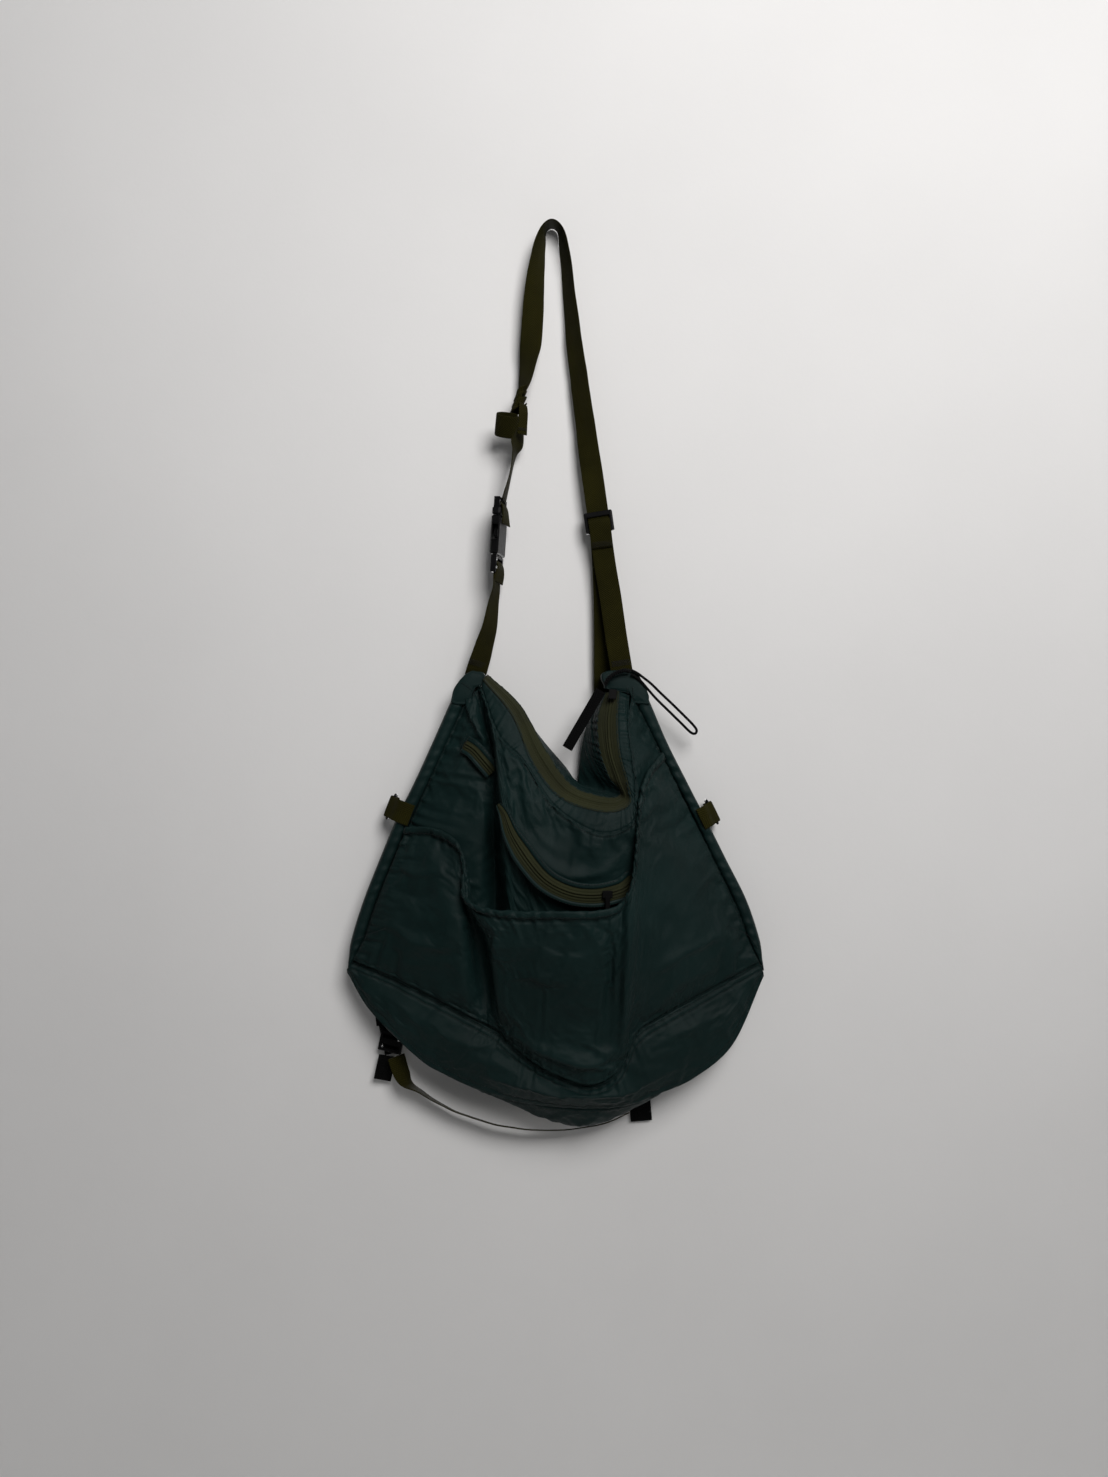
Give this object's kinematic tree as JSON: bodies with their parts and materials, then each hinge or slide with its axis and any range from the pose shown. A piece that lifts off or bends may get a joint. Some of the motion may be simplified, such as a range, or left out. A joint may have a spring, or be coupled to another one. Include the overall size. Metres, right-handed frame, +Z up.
{
  "type": "sling bag",
  "caption": "Soft nylon sling bag hanging by its webbing shoulder strap, with a V-shaped main zip, a gathered front panel, a patch pocket and a bottom compression strap",
  "frame": {"origin": "the hang point: the middle of the shoulder strap where it passes over the peg", "axes": "+X to the right of someone facing the bag, +Z up, and the bag's front faces -Y; the wall it hangs against is at Y = +0.014"},
  "size_m": [0.474, 0.1156, 1.0447],
  "materials": {
    "shell_nylon": "dark teal ripstop nylon, soft low sheen",
    "olive_webbing": "woven olive webbing",
    "olive_zip_tape": "woven zip tape, grey olive",
    "zip_coil": "nylon coil, satin",
    "black_plastic": "moulded acetal, satin",
    "black_webbing": "woven black webbing",
    "black_cord": "braided nylon cord",
    "slider_metal": "black enamelled zinc"
  },
  "bodies": {
    "bag": {"back_panel": "shell_nylon", "back_top_strip": "shell_nylon", "base_panel": "shell_nylon", "bottom_anchor": "black_webbing", "bottom_right_tab": "black_webbing", "bottom_strap": "olive_webbing", "bottom_strap_tail": "black_webbing", "buckle_ladder": "black_plastic", "buckle_socket": "black_plastic", "front_panel": "shell_nylon", "front_top_strip": "shell_nylon", "front_zip_coil": "zip_coil", "front_zip_left_end": "olive_zip_tape", "front_zip_tape_lower": "olive_zip_tape", "front_zip_tape_upper": "olive_zip_tape", "left_corner_patch": "shell_nylon", "left_edge_band": "shell_nylon", "left_side_loop": "olive_webbing", "main_zip_coil": "zip_coil", "main_zip_tape_back": "olive_zip_tape", "main_zip_tape_front": "olive_zip_tape", "pocket_binding": "shell_nylon", "pocket_panel": "shell_nylon", "rear_base_panel": "shell_nylon", "right_corner_patch": "shell_nylon", "right_edge_band": "shell_nylon", "right_side_loop": "olive_webbing", "strap_left_anchor": "olive_webbing", "strap_link": "olive_webbing", "strap_return_ply": "olive_webbing", "strap_square_ply": "olive_webbing", "strap_tail_loop": "olive_webbing", "strap_upper": "olive_webbing", "strap_wrap": "olive_webbing"},
    "buckle_plug": {"buckle_plug": "black_plastic"},
    "buckle_prong_left": {"buckle_prong_left": "black_plastic"},
    "buckle_prong_right": {"buckle_prong_right": "black_plastic"},
    "tri_glide": {"tri_glide": "black_plastic"},
    "left_side_ring": {"left_side_ring": "black_plastic"},
    "right_side_ring": {"right_side_ring": "black_plastic"},
    "main_slider": {"main_zip_slider": "slider_metal", "pull_wrap": "black_cord", "pull_cord": "black_cord"},
    "main_pull_tab": {"pull_tab": "black_webbing"},
    "front_slider": {"front_zip_slider": "slider_metal"},
    "front_pull": {"front_zip_puller": "black_cord"},
    "ladder_lock": {"ladder_lock": "black_plastic"}
  },
  "joints": [
    {"name": "buckle_release", "type": "slide", "parent": "bag", "child": "buckle_plug", "axis": [0.061, 0, 0.9981], "range_m": [0, 0.026], "deforming": ["strap_link"]},
    {"name": "prong_left_flex", "type": "hinge", "parent": "buckle_plug", "child": "buckle_prong_left", "pos_m": [-0.06193, -0.022, -0.34228], "axis": [0.9763, -0.2079, -0.0597], "range_deg": [0, 5], "stiffness_Nm_per_rad": 0.5},
    {"name": "prong_right_flex", "type": "hinge", "parent": "buckle_plug", "child": "buckle_prong_right", "pos_m": [-0.05812, -0.004, -0.34252], "axis": [-0.9763, 0.2079, 0.0597], "range_deg": [0, 5], "stiffness_Nm_per_rad": 0.5},
    {"name": "tri_glide_slide", "type": "slide", "parent": "bag", "child": "tri_glide", "axis": [-0.1386, 0.0198, 0.9901], "range_m": [-0.035, 0.035]},
    {"name": "left_ring_swing", "type": "hinge", "parent": "bag", "child": "left_side_ring", "pos_m": [-0.18521, -0.007, -0.67332], "axis": [0.3584, 0, 0.9336], "range_deg": [0, 100]},
    {"name": "right_ring_swing", "type": "hinge", "parent": "bag", "child": "right_side_ring", "pos_m": [0.18437, -0.007, -0.6796], "axis": [0.4384, 0, -0.8988], "range_deg": [0, 100]},
    {"name": "main_zip_slide", "type": "slide", "parent": "bag", "child": "main_slider", "axis": [-0.12, -0.3199, -0.9398], "range_m": [0, 0.048]},
    {"name": "main_pull_swing", "type": "hinge", "parent": "main_slider", "child": "main_pull_tab", "pos_m": [0.055, -0.032, -0.541], "axis": [0, 1, 0], "range_deg": [-12, 60]},
    {"name": "front_zip_slide", "type": "slide", "parent": "bag", "child": "front_slider", "axis": [-1, 0, 0], "range_m": [0, 0.04]},
    {"name": "front_pull_swing", "type": "hinge", "parent": "front_slider", "child": "front_pull", "pos_m": [0.06, -0.0906, -0.765], "axis": [-1, 0, 0], "range_deg": [0, 12]},
    {"name": "ladder_lock_tilt", "type": "hinge", "parent": "bag", "child": "ladder_lock", "pos_m": [-0.18371, 0.001, -0.93524], "axis": [-0.9633, 0.1736, 0.2048], "range_deg": [0, 30]}
  ],
  "couplings": [
    {"joint": "prong_right_flex", "follows": "prong_left_flex", "ratio": 1}
  ]
}
